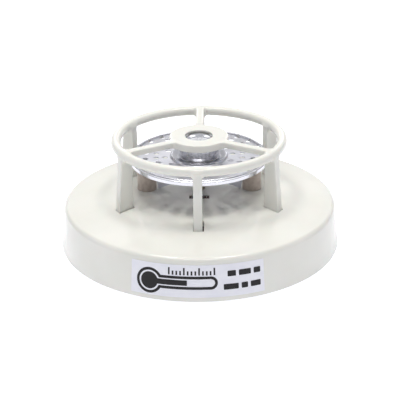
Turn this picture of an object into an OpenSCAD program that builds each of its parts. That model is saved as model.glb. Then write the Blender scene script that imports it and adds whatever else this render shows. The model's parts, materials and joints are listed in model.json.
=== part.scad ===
// Mechanical heat detector: round moulded base, open guard cage, perforated heat collector
// on a soldered plunger, and a rate-of-rise air chamber, on a twist-lock mounting bracket.
// Z = 0 is the rear face that meets the ceiling or wall; the cage points along +Z.
// The rating label is on the -Y side.

/* [Base] */
// Outside radius of the base at its rear face
base_r = 58; // [57:0.5:60]
// Height at which the side wall starts to round over
side_h = 15.7; // [15.5:0.1:17]
// Draft of the side wall, as a change in radius
side_draft = 1.5; // [1.25:0.25:3]
// Radius of the rounded shoulder
shoulder_r = 2.3; // [1.5:0.1:2.6]
// Height of the flat top inside the legs
floor_z = 23; // [22.5:0.1:23.5]
// Wall thickness of the moulding
wall = 2.2; // [1.8:0.1:2.4]

/* [Guard cage] */
// Radius of the ring's centre line
ring_r = 34.15; // [33.5:0.05:35]
// Radius of the ring's round section
ring_tube_r = 2; // [1.8:0.1:2.2]
// Height of the cage's top face
cage_top_z = 46.75; // [46:0.25:48]
// Outside radius of the hub
hub_r = 12.1; // [11.5:0.1:13]
// Radius of the hub's hole
hub_hole_r = 5.7; // [5:0.1:6]
// Depth of the hub
hub_h = 3.35; // [3:0.05:3.6]
// Thickness of a leg, across its radial direction
leg_t = 3.6; // [3.2:0.1:4]
// Width of a spoke
spoke_w = 3.4; // [3:0.1:4]
// How far the cage sits round from true, within the play of its slots
cage_turn = -0.3; // [-0.4:0.1:0]

/* [Heat collector] */
// Outside radius of the perforated disc
disc_r = 28.65; // [28:0.05:29]
// Height of the perforated face
disc_z = 37.55; // [37.4:0.05:37.7]
// Thickness of the disc's sheet
disc_t = 0.35; // [0.3:0.05:0.5]
// Radius of one perforation
hole_r = 1.2; // [0.9:0.1:1.3]
// Radius of the solder cup
cup_r = 8.05; // [7.8:0.05:8.2]
// Radius of the domed button that closes the cup and stands in the hub's hole
button_r = 5.35; // [5:0.05:5.4]
// How far the collector falls when the solder melts
drop = 1.3; // [1:0.1:1.4]

/* [Plunger] */
// Radius of the plunger's stem
stem_r = 1.5; // [1.3:0.1:1.7]
// Travel of the released plunger
plunger_travel = 1.6; // [1.2:0.1:1.6]

/* [Contacts] */
// Travel of the diaphragm's centre
diaphragm_travel = 0.5; // [0.3:0.1:0.5]
// Distance from the centre to the rate-of-rise unit
rate_y = 17.5; // [17.4:0.05:17.8]

/* [Bracket] */
// Centre distance of the long pair of mounting slots
slot_x = 86.1; // [84:0.1:87]
// Centre distance of the short pair of mounting slots
slot_y = 69.85; // [69:0.05:71]
// Width of a mounting slot
slot_w = 4.4; // [4.2:0.1:4.8]

/* [Hidden] */
$fn = 96;

// Base outline: the shoulder, the sloping top and the flat floor inside the legs
side_top_r = base_r - side_draft;
slope_out_r = side_top_r - shoulder_r;
slope_out_z = side_h + shoulder_r;
slope_in_r = 31.6;
slope_in_z = 22.2;
floor_r = 27;
edge_r = 0.5;
top_tilt = atan((slope_in_z - slope_out_z) / (slope_out_r - slope_in_r));
bend_reach = 3.4;
bend_r = bend_reach / tan(top_tilt / 2);
bend_at = slope_in_r - (floor_z - slope_in_z) / tan(top_tilt);
function slope_z(r) =
    slope_out_z + (slope_out_r - r) * (slope_in_z - slope_out_z) / (slope_out_r - slope_in_r);
function side_r(z) = base_r - side_draft * (z - edge_r) / (side_h - edge_r);
ceiling_z = floor_z - wall;

// Legs and feet
leg_in_r = 31.55;
leg_out_r = 38.05;
leg_top_out_r = 36.3;
foot_z = 15.8;
leg_angles = [for (i = [0:5]) 30 + 60 * i];
spoke_angles = [90, 210, 330];
ring_z = cage_top_z - ring_tube_r;
hub_web = 1;
foot_slot = [6.9, 4.3];

// Slot in the floor behind the front leg
floor_slot = [8.4, 3.4];
floor_slot_y = -9.2;
stem_hole_r = 2.3;

// Collector
disc_floor_z = disc_z - 0.1;
disc_bore_r = 7.4;
lip_r = 11.4;
rim_drop = 1.4;
perforation_rings = [[14, 12], [17.9, 24], [22.2, 24], [26, 24]];
perforation_phase = 7.5;
cup_top_z = cage_top_z - hub_web - drop - 0.1;
cup_web_z = 41;
cup_wall_r = 6.9;
recess_r = 3.3;
button_top_z = cage_top_z - 0.15;
button_dome_r = 15;
fit = 0.06;

// Plunger and its bridge
post_x = 21.85;
post_r = 4.05;
post_top_z = 33.5;
strap_t = 1.2;
bush_r = 3.4;
bush_low_z = 32.3;
collar_z = floor_z + plunger_travel + 0.7;
collar_h = 1.4;
collar_r = 3.1;
spring_r = 2.5;
spring_wire_r = 0.3;
spring_turns = 5;
stem_low_z = 15;
stem_top_z = 43.1;

// Rear parts
base_plate_z = 7;
base_plate_h = 2;
base_plate_r = 50;
plate_top_z = base_plate_z + base_plate_h;
gasket_h = 1.2;
seal_rib = [46, 49.4];
screw_ring_r = 42;
screw_angles = [45, 135, 225, 315];
boss_r = 3.2;
screw_r = 1.25;

// Contacts
blade_t = 0.3;
blade_w = 5;
contact_r = 1.3;
rivet_h = 0.3;
strip_t = 0.8;
fixed_contact_h = 0.1;
contact_gap = 0.08;
ft_root_x = -13;
ft_contact_x = 3.7;
rate_root_x = -12;
rate_contact_x = 4;

// Height of a blade whose contact just closes when the blade is pushed down by travel above x = 0
function blade_z(travel, root_x, contact_x) = plate_top_z + strip_t + fixed_contact_h + contact_gap
    + rivet_h + travel * (contact_x + contact_r - root_x) / -root_x;
ft_blade_z = blade_z(plunger_travel, ft_root_x, ft_contact_x);
rate_blade_z = blade_z(diaphragm_travel, rate_root_x, rate_contact_x);
tip_z = ft_blade_z + blade_t + 0.4;
terminals = [[-20, -10], [20, -10], [-20, 13], [20, 13]];

// Rate-of-rise unit
chamber_r = 13;
chamber_top_z = 18.2;
chamber_low_z = 13.25;
ring_out_r = 14.5;
ring_in_r = 10.5;
diaphragm_ring_z = 11.8;

// Bracket and the base's lugs that hold it
bracket_t = 1.2;
bracket_z = 0.2;
bracket_in_r = 29.5;
bracket_out_r = 49;
tab_z = 3.4;
tab_out_r = 53.4;
tab_angle = 14;
lug_angle = 17;
lug_in_r = 50.2;
lug_z = 1.7;
lug_h = 1.4;
catch_angles = [90, 210, 330];

// ---------- shared shapes ----------

// Points of an arc of radius r about [x, y], from angle a to angle b
function arc(x, y, r, a, b, n = 6) =
    [for (i = [0:n]) [x + r * cos(a + (b - a) * i / n), y + r * sin(a + (b - a) * i / n)]];

module spun(points, angle = 360) {
    rotate_extrude(angle = angle) polygon(points);
}

module tube(r_out, r_in, z, h) {
    translate([0, 0, z]) difference() {
        cylinder(r = r_out, h = h);
        translate([0, 0, -1]) cylinder(r = r_in, h = h + 2);
    }
}

// Stadium outline of length l and width w, along X
module stadium(l, w) {
    square([l - w, w], center = true);
    for (s = [-1, 1]) translate([s * (l - w) / 2, 0]) circle(d = w, $fn = 32);
}

// Sector of a ring between two radii, centred on angle a
module ring_sector(r_in, r_out, a, width, z, h) {
    rotate([0, 0, a - width / 2]) rotate_extrude(angle = width)
        translate([r_in, z]) square([r_out - r_in, h]);
}

// Pan-head screw pointing up +Z, with its head's underside at z
module screw(r, head_r, head_h, length, z) {
    difference() {
        union() {
            translate([0, 0, z - head_h]) cylinder(r = head_r, h = head_h, $fn = 48);
            translate([0, 0, z - 0.01]) cylinder(r = r, h = length, $fn = 32);
        }
        for (a = [0, 90]) rotate([0, 0, a])
            translate([-head_r * 0.6, -0.35, z - head_h - 0.1]) cube([head_r * 1.2, 0.7, head_h * 0.6]);
    }
}

// ---------- base ----------

function base_outside() = concat(
    [[0, floor_z]],
    [for (a = [0:top_tilt / 5:top_tilt + 0.01])
        [bend_at - bend_reach + bend_r * sin(a), floor_z - bend_r * (1 - cos(a))]],
    arc(slope_out_r, side_h, shoulder_r, 79, 0, 9),
    arc(base_r - edge_r, edge_r, edge_r, 0, -90, 3)
);

function base_inside() = [
    [side_r(0) - wall, -1],
    [side_r(side_h) - wall, side_h - 1.2],
    [slope_out_r - 1.4, slope_z(slope_out_r) - wall],
    [slope_in_r, slope_in_z - wall],
    [floor_r, ceiling_z],
    [0, ceiling_z],
    [0, -1]
];

module base_shell() {
    difference() {
        spun(concat(base_outside(), [[0, 0]]));
        spun(base_inside());
    }
}

module base_lugs() {
    for (a = catch_angles) difference() {
        ring_sector(lug_in_r, base_r - 0.8, a, lug_angle, lug_z, lug_h);
        difference() {
            cylinder(r = base_r + 5, h = 10);
            translate([0, 0, -1]) cylinder(r = side_r(lug_z) - 1, h = 12);
        }
    }
}

module base_bosses() {
    intersection() {
        union() {
            for (a = screw_angles) rotate([0, 0, a]) translate([screw_ring_r, 0, plate_top_z])
                cylinder(r = boss_r, h = 20, $fn = 48);
            tube(seal_rib[1], seal_rib[0], plate_top_z + gasket_h, 20);
            tube(stem_hole_r + 1.6, stem_hole_r, 18.4, 5);
        }
        spun([[0, 0], [side_r(0) - 1, 0], [slope_out_r, side_h], [slope_in_r, slope_in_z - 1],
              [floor_r, floor_z - 1], [0, floor_z - 1]]);
    }
}

module housing() {
    color("#f3f2ec") difference() {
        union() {
            base_shell();
            base_lugs();
            base_bosses();
        }
        for (a = leg_angles) rotate([0, 0, a])
            translate([(leg_in_r + leg_out_r) / 2 - foot_slot[0] / 2, -foot_slot[1] / 2, 12])
                cube([foot_slot[0], foot_slot[1], 20]);
        translate([-floor_slot[0] / 2, floor_slot_y - floor_slot[1] / 2, 15])
            cube([floor_slot[0], floor_slot[1], 20]);
        translate([0, 0, 10]) cylinder(r = stem_hole_r, h = 20, $fn = 48);
        for (a = screw_angles) rotate([0, 0, a]) translate([screw_ring_r, 0, 0])
            cylinder(r = screw_r + 0.02, h = 16.4, $fn = 32);
    }
}

// Phenolic card held under the top, with a notched edge that stands up in the slot
module contact_card() {
    card = [floor_slot[0] - 0.3, floor_slot[1] - 0.3];
    color("#4a3a30") translate([0, floor_slot_y, 0]) difference() {
        union() {
            translate([-card[0] / 2, -card[1] / 2, ceiling_z - 0.5]) cube([card[0], card[1], wall + 0.15]);
            translate([-card[0] / 2 - 1.5, -card[1] / 2 - 1.2, ceiling_z - 1.3]) cube([card[0] + 3, card[1] + 2.4, 1.28]);
        }
        for (x = [-3:1.2:3]) translate([x - 0.2, -card[1], floor_z - 1.1]) cube([0.4, 2 * card[1], 3]);
    }
}

// ---------- guard cage ----------

module cage_leg() {
    rotate([90, 0, 0]) translate([0, 0, -leg_t / 2]) linear_extrude(leg_t) polygon([
        [leg_in_r, slope_z(leg_in_r) - 0.6],
        [leg_out_r - 0.5, slope_z(leg_in_r) - 3.2],
        [leg_out_r + 0.05, slope_z(leg_out_r) - 0.6],
        [leg_top_out_r, ring_z - 0.4],
        [ring_r, ring_z + 0.2],
        [leg_in_r + 0.5, ring_z - 0.8],
        [leg_in_r, ring_z - 3.5]
    ]);
}

// Foot through the base's slot, with a barb that snaps under the moulding
module cage_foot() {
    rotate([90, 0, 0]) translate([0, 0, -leg_t / 2 + 0.3]) linear_extrude(leg_t - 0.6) polygon([
        [leg_in_r + 0.1, slope_z(leg_in_r) - 0.4],
        [leg_in_r + 0.1, foot_z],
        [leg_out_r - 1.5, foot_z],
        [leg_out_r + 0.7, slope_z(leg_out_r) - wall - 0.6],
        [leg_out_r - 0.4, slope_z(leg_out_r) - wall - 0.15],
        [leg_out_r - 0.4, slope_z(leg_out_r) - 0.4]
    ]);
}

module guard_cage() {
    color("#f3f2ec") rotate([0, 0, cage_turn]) difference() {
        union() {
            translate([0, 0, ring_z]) rotate_extrude() translate([ring_r, 0]) circle(r = ring_tube_r, $fn = 32);
            for (a = leg_angles) rotate([0, 0, a]) {
                cage_leg();
                cage_foot();
            }
            for (a = spoke_angles) rotate([0, 0, a])
                translate([hub_r - 1.5, -spoke_w / 2, cage_top_z - 2.8])
                    cube([ring_r - hub_r + 1.5, spoke_w, 2.7]);
            translate([0, 0, cage_top_z - hub_h]) cylinder(r = hub_r, h = hub_h);
        }
        translate([0, 0, cage_top_z - 10]) cylinder(r = hub_hole_r, h = 20);
        translate([0, 0, cage_top_z - 10 - hub_web]) cylinder(r = 9.6, h = 10);
    }
}

module rating_label() {
    gap = 0.04;
    label_t = 0.14;
    low = 2;
    high = 15.3;
    color("#dcdce8") rotate([0, 0, 270 - 27]) rotate_extrude(angle = 53.4) polygon([
        [side_r(low) + gap, low],
        [side_r(low) + gap + label_t, low],
        [side_r(high) + gap + label_t, high],
        [side_r(high) + gap, high]
    ]);
}

// ---------- heat collector ----------

module heat_collector() {
    color("#cdcdd9") difference() {
        spun(concat(
            [[disc_bore_r, disc_floor_z], [9.9, disc_floor_z], [10.7, disc_z + 0.55]],
            arc(lip_r, disc_z + 0.45, 0.55, 160, 40, 5),
            [[12.6, disc_z + 0.1], [13, disc_z], [disc_r - 1.7, disc_z]],
            arc(disc_r - 0.75, disc_z + 0.05, 0.75, 150, 0, 7),
            [[disc_r, disc_z - rim_drop + 0.1], [disc_r - 0.15, disc_z - rim_drop],
             [disc_r - disc_t, disc_z - rim_drop], [disc_r - disc_t, disc_z - 0.15],
             [disc_r - 1, disc_z + 0.1], [disc_r - 1.6, disc_z - disc_t],
             [13, disc_z - disc_t], [lip_r + 0.4, disc_z + 0.3], [lip_r - 0.3, disc_z + 0.3],
             [10.2, disc_floor_z - disc_t], [disc_bore_r, disc_floor_z - disc_t]]
        ));
        for (ring = perforation_rings, i = [0:ring[1] - 1])
            rotate([0, 0, perforation_phase + i * 360 / ring[1]])
                translate([ring[0], 0, disc_z - 3]) cylinder(r = hole_r, h = 6, $fn = 24);
    }
}

module solder_cup() {
    color("#c9ccd2") spun(concat(
        // Rolled edge under the disc, the neck through it and the bead on top of it
        [[cup_wall_r, disc_floor_z - 0.95], [cup_r - 0.1, disc_floor_z - 1],
         [cup_r + 0.15, disc_floor_z - 0.75], [cup_r - 0.1, disc_floor_z - disc_t - 0.02],
         [disc_bore_r - 0.02, disc_floor_z - disc_t - 0.02], [disc_bore_r - 0.02, disc_floor_z + 0.02],
         [cup_r + 0.2, disc_floor_z + 0.02], [cup_r + 0.2, disc_floor_z + 1.3],
         [cup_r + 0.05, disc_floor_z + 1.6], [cup_r, disc_floor_z + 1.8]],
        arc(cup_r - 1.2, cup_top_z - 1.2, 1.2, 0, 90, 6),
        arc(recess_r + 0.6, cup_top_z - 0.6, 0.6, 90, 180, 4),
        [[recess_r, cup_web_z + 0.5], [stem_r + fit, cup_web_z + 0.5], [stem_r + fit, cup_web_z],
         [cup_wall_r, cup_web_z]]
    ));
}

// Polished cap pressed into the cup's recess
module cup_button() {
    edge = asin((button_r - 0.3) / button_dome_r);
    dome_z = button_top_z - button_dome_r;
    color("#d9d9dc") spun(concat(
        [[0, cup_top_z - 0.9], [recess_r - fit, cup_top_z - 0.9], [recess_r - fit, cup_top_z + 0.02],
         [button_r, cup_top_z + 0.02], [button_r, dome_z + button_dome_r * cos(edge) - 0.3]],
        [for (i = [0:8]) [button_dome_r * sin(edge * (1 - i / 8)), dome_z + button_dome_r * cos(edge * (1 - i / 8))]]
    ));
}

module solder_ring() {
    color("#8d8a86") spun([
        [stem_r + fit, cup_web_z + 0.5], [recess_r - 0.02, cup_web_z + 0.5],
        [recess_r - 0.02, cup_top_z - 1.2], [2.4, cup_top_z - 1.5], [stem_r + fit, cup_top_z - 1.6]
    ]);
}

// ---------- plunger ----------

module plunger_stem() {
    color("#b8a070") difference() {
        translate([0, 0, stem_low_z]) cylinder(r = stem_r, h = stem_top_z - stem_low_z, $fn = 48);
        tube(stem_r + 1, stem_r - 0.25, collar_z + 0.35, collar_h - 0.7);
    }
}

// Split collar pressed into the stem's groove, on which the spring pushes
module plunger_collar() {
    color("#9b9c9f") difference() {
        union() {
            tube(collar_r, stem_r + 0.02, collar_z, collar_h);
            tube(stem_r + 0.1, stem_r - 0.24, collar_z + 0.37, collar_h - 0.74);
        }
        translate([0, -0.35, collar_z - 1]) cube([collar_r + 1, 0.7, collar_h + 2]);
    }
}

module plunger_tip() {
    color("#3b2f2a") spun([
        [0, tip_z], [1.2, tip_z], [2, tip_z + 0.8], [2, stem_low_z + 2.6],
        [stem_r + 0.02, stem_low_z + 2.6], [stem_r + 0.02, stem_low_z - 0.02], [0, stem_low_z - 0.02]
    ]);
}

// Closed helical coil from z0 to z1
module coil(r, wire_r, turns, z0, z1, sides = 8, steps = 18) {
    n = turns * steps;
    pitch = (z1 - z0 - 2 * wire_r) / n;
    points = [for (i = [0:n], j = [0:sides - 1])
        let (a = i * 360 / steps, b = j * 360 / sides)
        [(r + wire_r * cos(b)) * cos(a), (r + wire_r * cos(b)) * sin(a),
         z0 + wire_r + i * pitch + wire_r * sin(b)]];
    tube_faces = [for (i = [0:n - 1], j = [0:sides - 1])
        let (k = (j + 1) % sides)
        [i * sides + j, (i + 1) * sides + j, (i + 1) * sides + k, i * sides + k]];
    first_end = [for (j = [0:sides - 1]) j];
    last_end = [for (j = [0:sides - 1]) n * sides + sides - 1 - j];
    polyhedron(points = points, faces = concat(tube_faces, [first_end, last_end]));
}

module plunger_spring() {
    color("#a9abb0") coil(spring_r, spring_wire_r, spring_turns, collar_z + collar_h, bush_low_z);
}

// ---------- bridge ----------

module bridge_posts() {
    color("#8f857a") for (s = [-1, 1]) translate([s * post_x, 0, floor_z]) difference() {
        cylinder(r = post_r, h = post_top_z - floor_z, $fn = 64);
        translate([0, 0, 2]) cylinder(r = screw_r + 0.02, h = 20, $fn = 32);
    }
}

module guide_bridge() {
    in_x = post_x - post_r - 0.1;
    color("#c8c8cf") difference() {
        union() {
            rotate([90, 0, 0]) translate([0, 0, -0.6]) linear_extrude(1.2) difference() {
                polygon([
                    [in_x - 0.6, floor_z], [in_x, floor_z + 3], [in_x, post_top_z + 0.1],
                    [-in_x, post_top_z + 0.1], [-in_x, floor_z + 3], [-in_x + 0.6, floor_z],
                    [-12, floor_z + 2], [-6, 29.5], [-4.4, bush_low_z],
                    [4.4, bush_low_z], [6, 29.5], [12, floor_z + 2]
                ]);
            }
            translate([0, 0, post_top_z]) linear_extrude(strap_t) {
                square([2 * post_x, 2 * post_r - 0.4], center = true);
                for (s = [-1, 1]) translate([s * post_x, 0]) circle(r = post_r - 0.2, $fn = 64);
                circle(r = 6.2);
            }
        }
        translate([0, 0, 20]) cylinder(r = bush_r + 0.03, h = 20, $fn = 64);
        for (s = [-1, 1]) translate([s * post_x, 0, 30]) cylinder(r = 1.6, h = 10, $fn = 32);
    }
}

module guide_bush() {
    color("#b99c56") difference() {
        union() {
            translate([0, 0, bush_low_z]) cylinder(r = bush_r, h = cup_web_z - 0.05 - bush_low_z, $fn = 64);
            translate([0, 0, post_top_z + strap_t]) cylinder(r = bush_r + 1.2, h = 0.9, $fn = 64);
        }
        translate([0, 0, 20]) cylinder(r = stem_r + fit, h = 30, $fn = 48);
    }
}

module bridge_screws() {
    color("#b5b6ba") for (s = [-1, 1]) translate([s * post_x, 0, 0])
        rotate([180, 0, 0]) screw(screw_r, 2.6, 1.1, 8.5, -post_top_z - strap_t);
}

// ---------- rear plate ----------

module terminal_base() {
    color("#4a3a30") difference() {
        union() {
            translate([0, 0, base_plate_z]) cylinder(r = base_plate_r, h = base_plate_h);
            // Barriers between the terminals, and the pads that the clamps sit on
            for (s = [-1, 1]) translate([s * 20 - 6, 0.5, base_plate_z - 3.2]) cube([12, 2, 3.3]);
            for (s = [-1, 1]) translate([s * 12.5 - 0.9, -16, base_plate_z - 3.2]) cube([1.8, 35, 3.3]);
        }
        for (t = terminals) translate([t[0], t[1], 0]) cylinder(r = 1.9, h = 20, $fn = 32);
        for (a = screw_angles) rotate([0, 0, a]) translate([screw_ring_r, 0, 0])
            cylinder(r = 1.6, h = 20, $fn = 32);
        translate([0, rate_y, 0]) for (a = [30, 150, 270]) rotate([0, 0, a]) translate([12.5, 0, 0])
            cylinder(r = 1.03, h = 20, $fn = 32);
    }
}

module base_gasket() {
    color("#2c2c2e") tube(seal_rib[1], seal_rib[0], plate_top_z, gasket_h);
}

module base_screws() {
    color("#b5b6ba") for (a = screw_angles) rotate([0, 0, a]) translate([screw_ring_r, 0, 0])
        screw(screw_r, 2.7, 1.6, 8.5, base_plate_z);
}

// ---------- rate-of-rise unit ----------

module air_chamber() {
    color("#c5c8cc") translate([0, rate_y, 0]) difference() {
        spun(concat(
            [[0, chamber_low_z], [ring_out_r - 0.6, chamber_low_z], [ring_out_r - 0.6, chamber_low_z + 0.5],
             [chamber_r, chamber_low_z + 0.5]],
            arc(chamber_r - 1.5, chamber_top_z - 1.5, 1.5, 0, 90, 5),
            [[0, chamber_top_z]]
        ));
        spun(concat(
            [[0, chamber_low_z - 1], [chamber_r - 0.5, chamber_low_z - 1]],
            arc(chamber_r - 1.5, chamber_top_z - 1.5, 1, 0, 90, 5),
            [[0, chamber_top_z - 0.5]]
        ));
        cylinder(r = 1.3, h = 30, $fn = 32);
    }
}

// Brass plug with the calibrated leak that lets slow changes of pressure out
module vent_plug() {
    color("#b99c56") translate([0, rate_y, 0]) difference() {
        union() {
            translate([0, 0, chamber_top_z - 1.1]) cylinder(r = 1.28, h = 1.6, $fn = 32);
            translate([0, 0, chamber_top_z]) cylinder(r = 2.1, h = 1.1, $fn = 48);
        }
        translate([0, 0, chamber_top_z - 2]) cylinder(r = 0.3, h = 5, $fn = 24);
        translate([-3, -0.25, chamber_top_z + 0.6]) cube([6, 0.5, 1]);
    }
}

// Corrugated diaphragm, clamped at its edge
module diaphragm() {
    t = 0.12;
    z = chamber_low_z - 0.01 - t;
    profile = [[0, z - 0.35], [4, z - 0.35], [5, z - 0.1], [6, z - 0.35], [7, z - 0.1], [8, z - 0.35],
               [9, z - 0.05], [10, z], [ring_out_r - 0.6, z]];
    last = len(profile) - 1;
    color("#c9a36a") translate([0, rate_y, 0])
        spun(concat(profile, [for (i = [0:last]) profile[last - i] + [0, t]]));
}

module diaphragm_ring() {
    top = chamber_low_z - 0.14;
    color("#c5c8cc") translate([0, rate_y, 0]) {
        tube(ring_out_r, ring_in_r, diaphragm_ring_z, top - diaphragm_ring_z);
        // Rolled edge that holds the chamber's flange
        tube(ring_out_r, ring_out_r - 0.55, top - 0.1, 0.8);
        tube(ring_out_r, chamber_r + 0.3, chamber_low_z + 0.53, 0.3);
        for (a = [30, 150, 270]) rotate([0, 0, a]) translate([12.5, 0, 0]) {
            translate([0, 0, plate_top_z]) cylinder(r = 1.6, h = diaphragm_ring_z - plate_top_z + 0.1, $fn = 32);
            translate([0, 0, base_plate_z]) cylinder(r = 1, h = 2.5, $fn = 32);
            translate([0, 0, base_plate_z - 0.6]) cylinder(r = 1.6, h = 0.6, $fn = 32);
        }
    }
}

module diaphragm_button() {
    color("#d9d2c0") translate([0, rate_y, rate_blade_z + blade_t + 0.2])
        cylinder(r = 2, h = chamber_low_z - 0.5 - rate_blade_z - blade_t - 0.2, $fn = 48);
}

// ---------- contacts ----------

// Spring blade from its root at x0 to its tip at x1, with a contact hole at xc
module blade(x0, x1, xc, y, z) {
    translate([0, y, z]) linear_extrude(blade_t) difference() {
        union() {
            translate([x0, -blade_w / 2]) square([x1 - x0 - blade_w / 2, blade_w]);
            translate([x1 - blade_w / 2, 0]) circle(d = blade_w, $fn = 48);
        }
        translate([xc, 0]) circle(r = 0.62, $fn = 32);
    }
}

// Contact rivet through a blade at height z, with its face h below the blade
module blade_rivet(x, y, z, h) {
    translate([x, y, z - h]) cylinder(r = contact_r, h = h, $fn = 32);
    translate([x, y, z - 0.01]) cylinder(r = 0.6, h = blade_t + 0.02, $fn = 32);
    translate([x, y, z + blade_t]) cylinder(r = 0.9, h = 0.3, $fn = 32);
}

module fixed_temp_blade() {
    color("#cf9f62") blade(ft_root_x, 6, ft_contact_x, 0, ft_blade_z);
}

module fixed_temp_contact() {
    color("#d9dadd") blade_rivet(ft_contact_x, 0, ft_blade_z, rivet_h);
}

module rate_blade() {
    color("#cf9f62") blade(rate_root_x, 7, rate_contact_x, rate_y, rate_blade_z);
}

module rate_contact() {
    color("#d9dadd") blade_rivet(rate_contact_x, rate_y, rate_blade_z, rivet_h);
}

// Flat strip from a to b on the rear plate
module strip(a, b, w = 4) {
    d = b - a;
    length = norm(d);
    translate([a[0], a[1], plate_top_z]) rotate([0, 0, atan2(d[1], d[0])]) linear_extrude(strip_t) {
        translate([0, -w / 2]) square([length, w]);
        circle(d = w + 2.4, $fn = 48);
        translate([length, 0]) circle(d = w, $fn = 48);
    }
}

// Post that clamps a blade's root, rising to just past height z
module blade_post(x, y, z) {
    translate([x - 4, y - blade_w / 2, plate_top_z]) cube([3.9, blade_w, z - plate_top_z]);
    translate([x - 4, y - blade_w / 2, z - 0.01]) cube([3.9, blade_w, blade_t + 0.1]);
}

module terminal_strips() {
    color("#c0a25a") difference() {
        union() {
            strip(terminals[0], [ft_root_x - 2, 0]);
            blade_post(ft_root_x, 0, ft_blade_z);
            strip(terminals[1], [ft_contact_x, 0]);
            strip(terminals[2], [rate_root_x - 2, rate_y]);
            blade_post(rate_root_x, rate_y, rate_blade_z);
            strip(terminals[3], [rate_contact_x, rate_y]);
        }
        for (t = terminals) translate([t[0], t[1], 0]) cylinder(r = 1.62, h = 20, $fn = 32);
    }
}

module fixed_contacts() {
    top = plate_top_z + strip_t;
    color("#d9dadd") {
        translate([ft_contact_x, 0, top]) cylinder(r = 1.5, h = fixed_contact_h, $fn = 32);
        translate([rate_contact_x, rate_y, top]) cylinder(r = 1.5, h = fixed_contact_h, $fn = 32);
    }
}

module terminal_screws() {
    color("#b5b6ba") for (t = terminals) translate([t[0], t[1], 0])
        screw(1.6, 3.2, 1.9, 6.2, base_plate_z - 0.9);
}

// Saddle clamps that hold the wires under the screw heads
module terminal_clamps() {
    color("#c0a25a") for (t = terminals) translate([t[0], t[1], base_plate_z - 0.9]) difference() {
        translate([-3.6, -3.6, 0]) cube([7.2, 7.2, 0.9]);
        translate([0, 0, -1]) cylinder(r = 1.75, h = 4, $fn = 32);
    }
}

// ---------- bracket ----------

module mounting_bracket() {
    color("#a7a9ad") difference() {
        union() {
            tube(bracket_out_r, bracket_in_r, bracket_z, bracket_t);
            for (a = catch_angles) {
                rotate([0, 0, a - tab_angle / 2]) rotate_extrude(angle = tab_angle) polygon([
                    [bracket_out_r - 1.2, bracket_z], [bracket_out_r + 0.3, bracket_z],
                    [bracket_out_r + 0.3, tab_z], [tab_out_r, tab_z],
                    [tab_out_r, tab_z + bracket_t], [bracket_out_r - 1.2, tab_z + bracket_t]
                ]);
            }
        }
        for (s = [-1, 1]) {
            translate([s * slot_x / 2, 0, -1]) linear_extrude(5) stadium(9.2, slot_w);
            translate([0, s * slot_y / 2, -1]) rotate([0, 0, 90]) linear_extrude(5) stadium(6.4, slot_w);
        }
    }
}

housing();
guard_cage();
rating_label();
heat_collector();
solder_cup();
cup_button();
solder_ring();
plunger_stem();
plunger_collar();
plunger_tip();
plunger_spring();
bridge_posts();
guide_bridge();
guide_bush();
bridge_screws();
terminal_base();
base_gasket();
base_screws();
air_chamber();
vent_plug();
diaphragm();
diaphragm_ring();
diaphragm_button();
fixed_temp_blade();
fixed_temp_contact();
rate_blade();
rate_contact();
terminal_strips();
fixed_contacts();
terminal_screws();
terminal_clamps();
contact_card();
mounting_bracket();
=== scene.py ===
import json
import math

import bmesh
import bpy
import numpy as np
from mathutils import Matrix, Vector


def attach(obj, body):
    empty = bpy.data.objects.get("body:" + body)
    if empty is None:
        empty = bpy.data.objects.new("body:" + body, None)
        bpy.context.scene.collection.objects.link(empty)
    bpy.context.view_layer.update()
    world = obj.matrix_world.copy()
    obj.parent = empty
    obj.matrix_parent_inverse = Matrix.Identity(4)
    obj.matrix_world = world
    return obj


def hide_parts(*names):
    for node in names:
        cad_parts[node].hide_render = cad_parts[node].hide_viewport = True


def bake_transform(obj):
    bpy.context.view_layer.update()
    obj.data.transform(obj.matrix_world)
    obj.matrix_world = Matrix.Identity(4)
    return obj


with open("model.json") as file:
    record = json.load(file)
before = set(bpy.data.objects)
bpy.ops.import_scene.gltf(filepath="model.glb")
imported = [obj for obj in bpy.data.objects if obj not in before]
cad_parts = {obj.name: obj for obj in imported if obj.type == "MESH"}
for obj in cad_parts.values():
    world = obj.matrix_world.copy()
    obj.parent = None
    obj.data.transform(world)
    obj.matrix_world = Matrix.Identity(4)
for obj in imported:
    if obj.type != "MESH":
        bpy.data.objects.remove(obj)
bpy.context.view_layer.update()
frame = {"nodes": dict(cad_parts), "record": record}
nodes = frame["nodes"]
mm = 0.001
mergeReach = 1e-7  # vertices closer than this are one
print("frame loaded:", len(nodes), "nodes")


def addNode(tree, kind, links=None, **settings):
    node = tree.nodes.new(kind)
    for name, value in settings.items():
        setattr(node, name, value)
    for key, value in (links or {}).items():
        if isinstance(value, bpy.types.NodeSocket):
            tree.links.new(value, node.inputs[key])
        else:
            node.inputs[key].default_value = value
    return node


def hexColor(code):
    # sRGB hex to the linear values that the shaders take
    parts = [int(code[i:i + 2], 16) / 255 for i in (1, 3, 5)]
    return tuple(c / 12.92 if c <= 0.04045 else ((c + 0.055) / 1.055) ** 2.4 for c in parts) + (1,)


def addObject(name, mesh, material=None):
    piece = bpy.data.objects.new(name, mesh)
    bpy.context.scene.collection.objects.link(piece)
    if material:
        mesh.materials.clear()
        mesh.materials.append(material)
    return piece


def shadeByAngle(mesh, angle=32):
    mesh.polygons.foreach_set("use_smooth", [True] * len(mesh.polygons))
    mesh.set_sharp_from_angle(angle=math.radians(angle))


def closeMesh(mesh):
    # merge doubles and turn every face outwards
    work = bmesh.new()
    work.from_mesh(mesh)
    bmesh.ops.remove_doubles(work, verts=work.verts, dist=mergeReach)
    bmesh.ops.recalc_face_normals(work, faces=work.faces)
    work.to_mesh(mesh)
    work.free()


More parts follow.
